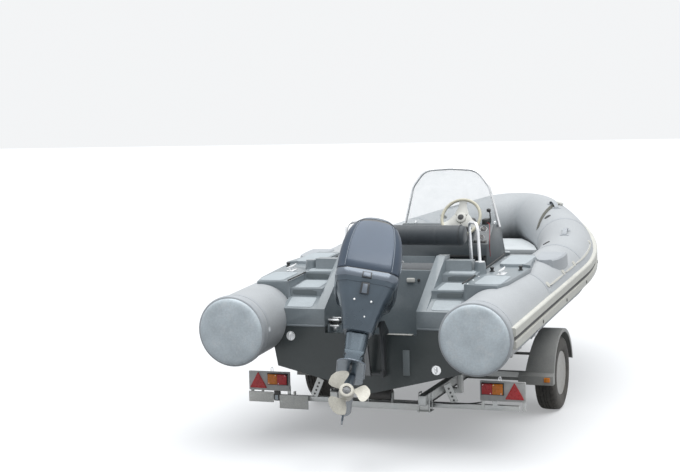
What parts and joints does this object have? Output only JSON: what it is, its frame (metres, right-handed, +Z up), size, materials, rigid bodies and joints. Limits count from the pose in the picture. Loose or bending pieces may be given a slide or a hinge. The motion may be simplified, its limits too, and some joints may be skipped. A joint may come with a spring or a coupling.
{
  "type": "rigid inflatable boat on its trailer",
  "caption": "Rigid inflatable boat with centre console, windscreen hoop and tilted outboard, parked on a single-axle bunk trailer with lamp boards, winch post and jockey wheel",
  "frame": {"origin": "on the ground, midway between the propeller and the coupling's nose, on the centre line", "axes": "+X to starboard, +Y to the bow, +Z up"},
  "size_m": [2.47, 7.0715, 2.0142],
  "materials": {
    "tube_fabric": "coated fabric, slightly dusty",
    "cap_rubber": "moulded, satin",
    "strake_rubber": "two moulded bands, satin",
    "hull_gelcoat": "gelcoat, slightly dusty",
    "deck_gelcoat": "gelcoat, satin",
    "floor_gelcoat": "non-slip gelcoat",
    "cushion_cover": "coated cushion cloth",
    "stainless": "polished stainless steel",
    "console_gelcoat": "gelcoat",
    "screen_clear": "clear",
    "helm_rim": "ivory, satin",
    "black_moulding": "moulded",
    "clamp_paint": "painted casting",
    "ram_steel": "steel",
    "cowl_paint": "metallic, satin",
    "engine_mass": "raw",
    "engine_paint": "painted casting, metallic",
    "propeller_paint": "enamel",
    "galvanised": "hot-dip galvanised",
    "guard_plastic": "moulded, dusty",
    "tyre_rubber": "road tyre",
    "rim_steel": "painted steel",
    "roller_rubber": "matt",
    "bunk_carpet": "carpeted plank",
    "strap_webbing": "webbing",
    "board_plastic": "moulded",
    "red_lens": "lens",
    "amber_lens": "lens",
    "plate_white": "blank plate"
  },
  "bodies": {
    "boat_and_trailer": {"tube_starboard": "tube_fabric", "tube_port": "tube_fabric", "tube_bow": "tube_fabric", "end_caps": "cap_rubber", "rubbing_strake": "strake_rubber", "hull": "hull_gelcoat", "transom_lip": "deck_gelcoat", "cockpit_floor": "floor_gelcoat", "pod_starboard": "deck_gelcoat", "pod_port": "deck_gelcoat", "well_bulkhead": "deck_gelcoat", "well_floor": "deck_gelcoat", "aft_bench": "deck_gelcoat", "bench_cushion": "cushion_cover", "bolster": "cushion_cover", "bolster_frame": "stainless", "console": "console_gelcoat", "screen_hoop": "stainless", "windscreen": "screen_clear", "helm_pod": "black_moulding", "engine_control": "black_moulding", "bow_locker": "deck_gelcoat", "clamp_bracket": "clamp_paint", "side_beams": "galvanised", "cross_beams": "galvanised", "drawbar": "galvanised", "axle": "galvanised", "mudguards": "guard_plastic", "keel_rollers": "roller_rubber", "bunks": "bunk_carpet", "bunk_brackets": "galvanised", "winch_post": "galvanised", "winch": "galvanised", "winch_strap": "strap_webbing", "coupling": "galvanised", "jockey_post": "galvanised", "lamp_bar": "galvanised", "lamp_boards": "board_plastic", "red_lenses": "red_lens", "amber_lenses": "amber_lens", "triangles": "red_lens", "blank_plates": "plate_white", "fittings": "stainless"},
    "helm": {"helm_wheel": "helm_rim"},
    "lid": {"bow_lid": "deck_gelcoat"},
    "tilted": {"swivel_bracket": "clamp_paint"},
    "ram_cylinder": {"tilt_cylinder": "ram_steel"},
    "ram_rod": {"tilt_rod": "ram_steel"},
    "steered": {"upper_cowl": "cowl_paint", "engine_block": "engine_mass", "lower_cowl": "engine_paint", "midsection": "engine_paint", "gearcase": "engine_paint"},
    "propeller": {"propeller": "propeller_paint"},
    "wheel_right": {"tyre_right": "tyre_rubber", "rim_right": "rim_steel"},
    "wheel_left": {"tyre_left": "tyre_rubber", "rim_left": "rim_steel"},
    "jockey_swivel": {"jockey_fork": "galvanised"},
    "jockey_wheel": {"jockey_wheel": "roller_rubber"}
  },
  "joints": [
    {"name": "wheel_right_spin", "type": "hinge", "parent": "boat_and_trailer", "child": "wheel_right", "pos_m": [1.025, -0.895, 0.31], "axis": [1, 0, 0], "continuous": true},
    {"name": "wheel_left_spin", "type": "hinge", "parent": "boat_and_trailer", "child": "wheel_left", "pos_m": [-1.025, -0.895, 0.31], "axis": [1, 0, 0], "continuous": true},
    {"name": "jockey_caster", "type": "hinge", "parent": "boat_and_trailer", "child": "jockey_swivel", "pos_m": [-0.15, 2.875, 0.242], "axis": [0, 0, 1], "continuous": true},
    {"name": "jockey_spin", "type": "hinge", "parent": "jockey_swivel", "child": "jockey_wheel", "pos_m": [-0.15, 2.83, 0.11], "axis": [1, 0, 0], "continuous": true},
    {"name": "outboard_tilt", "type": "hinge", "parent": "boat_and_trailer", "child": "tilted", "pos_m": [0, -2.605, 0.957], "axis": [-1, 0, 0], "range_deg": [-37, 37]},
    {"name": "outboard_steer", "type": "hinge", "parent": "tilted", "child": "steered", "pos_m": [0, -2.7308, 1.0387], "axis": [0, 0.5446, 0.8387], "range_deg": [-55, 15]},
    {"name": "propeller_spin", "type": "hinge", "parent": "steered", "child": "propeller", "pos_m": [0.12655, -3.42815, 0.60325], "axis": [-0.342, 0.7881, -0.5118], "continuous": true},
    {"name": "tilt_ram_lean", "type": "hinge", "parent": "boat_and_trailer", "child": "ram_cylinder", "pos_m": [0, -2.605, 0.577], "axis": [1, 0, 0], "range_deg": [-4, 4]},
    {"name": "tilt_ram_stroke", "type": "slide", "parent": "ram_cylinder", "child": "ram_rod", "axis": [0, -0.2446, 0.9696], "range_m": [-0.066, 0.066]},
    {"name": "helm_turn", "type": "hinge", "parent": "boat_and_trailer", "child": "helm", "pos_m": [0.2, -0.7, 1.597], "axis": [0, 0.866, -0.5], "range_deg": [-1105, 305]},
    {"name": "bow_lid_hinge", "type": "hinge", "parent": "boat_and_trailer", "child": "lid", "pos_m": [0, 0.696, 1.14], "axis": [1, 0, 0], "range_deg": [0, 80]}
  ],
  "couplings": [
    {"joint": "tilt_ram_lean", "follows": "outboard_tilt", "ratio": -0.0296},
    {"joint": "tilt_ram_stroke", "follows": "outboard_tilt", "m_per_rad": 0.08707},
    {"joint": "helm_turn", "follows": "outboard_steer", "ratio": 20}
  ]
}
